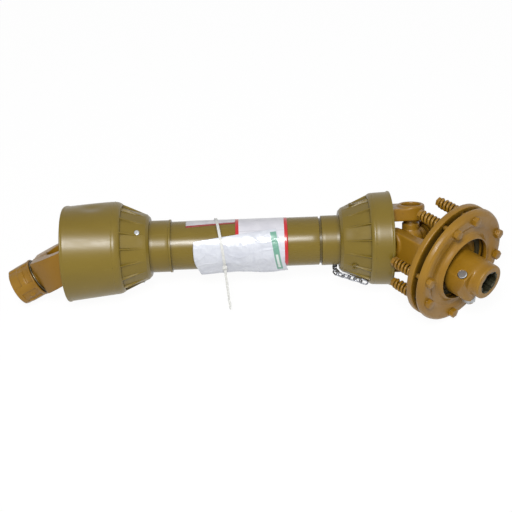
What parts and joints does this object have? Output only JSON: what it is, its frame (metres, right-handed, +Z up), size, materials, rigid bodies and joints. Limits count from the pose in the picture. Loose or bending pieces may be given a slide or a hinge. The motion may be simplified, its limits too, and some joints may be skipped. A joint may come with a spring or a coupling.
{
  "type": "pto drive shaft",
  "caption": "Telescoping farm drive shaft with a universal joint at each end, plastic guard tubes and bells, a splined pull-collar yoke and a friction clutch.",
  "frame": {"origin": "middle of the underside of the whole shaft as it lies on the floor", "axes": "+X along the shaft from the splined pull-collar end to the clutch end, +Z up"},
  "size_m": [0.773, 0.224, 0.1868],
  "materials": {
    "guard_plastic": "satin moulded plastic, olive yellow",
    "bearing_plastic": "satin nylon",
    "painted_steel": "semi-gloss golden brown paint",
    "zinc_steel": "zinc plated",
    "spring_steel": "oiled spring steel",
    "friction_lining": "matte pressed lining",
    "bush_metal": "plain bearing metal",
    "label_film": "printed film with plain colour stripes",
    "white_pouch": "soft white film",
    "white_strap": "satin nylon strap"
  },
  "bodies": {
    "drive_outer": {"left_inner_yoke": "painted_steel", "outer_drive_tube": "painted_steel", "left_roll_pin": "spring_steel", "left_inner_caps": "painted_steel", "left_inner_snap_rings": "painted_steel"},
    "left_guard": {"left_guard_cone": "guard_plastic", "left_guard_cuff": "guard_plastic", "outer_guard_tube": "guard_plastic", "left_guard_bearing": "bearing_plastic", "left_guard_screws": "zinc_steel", "label_sticker": "label_film", "document_pouch": "white_pouch", "cable_tie": "white_strap"},
    "left_cross": {"left_cross": "painted_steel", "left_grease_nipple": "painted_steel"},
    "left_yoke": {"left_outer_yoke": "painted_steel", "left_outer_caps": "painted_steel", "left_outer_snap_rings": "painted_steel", "collar_retaining_ring": "spring_steel", "collar_spring": "spring_steel"},
    "collar": {"pull_collar": "painted_steel"},
    "ball_1": {"locking_ball_1": "zinc_steel"},
    "ball_2": {"locking_ball_2": "zinc_steel"},
    "ball_3": {"locking_ball_3": "zinc_steel"},
    "drive_inner": {"right_inner_yoke": "painted_steel", "inner_drive_tube": "painted_steel", "right_roll_pin": "spring_steel", "right_inner_caps": "painted_steel", "right_inner_snap_rings": "painted_steel"},
    "right_guard": {"right_guard_cone": "guard_plastic", "right_guard_cuff": "guard_plastic", "inner_guard_tube": "guard_plastic", "right_guard_bearing": "bearing_plastic", "safety_chain": "zinc_steel"},
    "right_cross": {"right_cross": "painted_steel", "right_grease_nipple": "painted_steel"},
    "clutch": {"flange_yoke": "painted_steel", "right_outer_caps": "painted_steel", "right_outer_snap_rings": "painted_steel", "inner_friction_disc": "friction_lining", "outer_friction_disc": "friction_lining", "pressure_ring": "painted_steel", "clutch_cover": "painted_steel", "clutch_bolts": "painted_steel", "clutch_nuts": "painted_steel", "clutch_springs": "painted_steel", "hub_bush": "bush_metal"},
    "clutch_hub": {"clutch_hub": "painted_steel", "taper_pin": "zinc_steel", "taper_pin_washer": "zinc_steel", "taper_pin_nut": "zinc_steel"}
  },
  "joints": [
    {"name": "left_guard_spin", "type": "hinge", "parent": "drive_outer", "child": "left_guard", "pos_m": [-0.25971, 0.02999, 0.0819], "axis": [1, 0, -0.0037], "continuous": true},
    {"name": "left_cross_hinge", "type": "hinge", "parent": "drive_outer", "child": "left_cross", "pos_m": [-0.25971, 0.02999, 0.0819], "axis": [0.0031, 0.5742, 0.8187], "range_deg": [-20, 20]},
    {"name": "left_yoke_hinge", "type": "hinge", "parent": "left_cross", "child": "left_yoke", "pos_m": [-0.25971, 0.02999, 0.0819], "axis": [-0.0022, 0.8187, -0.5742], "range_deg": [-1.6, 56.4]},
    {"name": "collar_slide", "type": "slide", "parent": "left_yoke", "child": "collar", "axis": [0.8892, 0.2642, 0.3734], "range_m": [0, 0.005], "stiffness_N_per_m": 3000, "springref_m": -0.004},
    {"name": "ball_1_slide", "type": "slide", "parent": "left_yoke", "child": "ball_1", "axis": [-0.4575, 0.5098, 0.7286], "range_m": [0, 0.0025]},
    {"name": "ball_2_slide", "type": "slide", "parent": "left_yoke", "child": "ball_2", "axis": [0.2269, 0.4542, -0.8616], "range_m": [0, 0.0025]},
    {"name": "ball_3_slide", "type": "slide", "parent": "left_yoke", "child": "ball_3", "axis": [0.2306, -0.9639, 0.133], "range_m": [0, 0.0025]},
    {"name": "telescope_slide", "type": "slide", "parent": "drive_outer", "child": "drive_inner", "axis": [1, 0, -0.0037], "range_m": [0, 0.12]},
    {"name": "right_guard_spin", "type": "hinge", "parent": "drive_inner", "child": "right_guard", "pos_m": [0.24828, 0.02999, 0.07999], "axis": [1, 0, -0.0037], "continuous": true},
    {"name": "right_cross_hinge", "type": "hinge", "parent": "drive_inner", "child": "right_cross", "pos_m": [0.24828, 0.02999, 0.07999], "axis": [0.0031, 0.5742, 0.8187], "range_deg": [0, 95.2]},
    {"name": "clutch_yoke_hinge", "type": "hinge", "parent": "right_cross", "child": "clutch", "pos_m": [0.24828, 0.02999, 0.07999], "axis": [0.737, 0.5521, -0.3899], "range_deg": [-35.2, 0]},
    {"name": "clutch_slip", "type": "hinge", "parent": "clutch", "child": "clutch_hub", "pos_m": [0.24828, 0.02999, 0.07999], "axis": [0.6433, -0.7499, 0.1542], "continuous": true}
  ],
  "couplings": [
    {"joint": "ball_1_slide", "follows": "collar_slide", "ratio": 0.48},
    {"joint": "ball_2_slide", "follows": "collar_slide", "ratio": 0.48},
    {"joint": "ball_3_slide", "follows": "collar_slide", "ratio": 0.48}
  ]
}
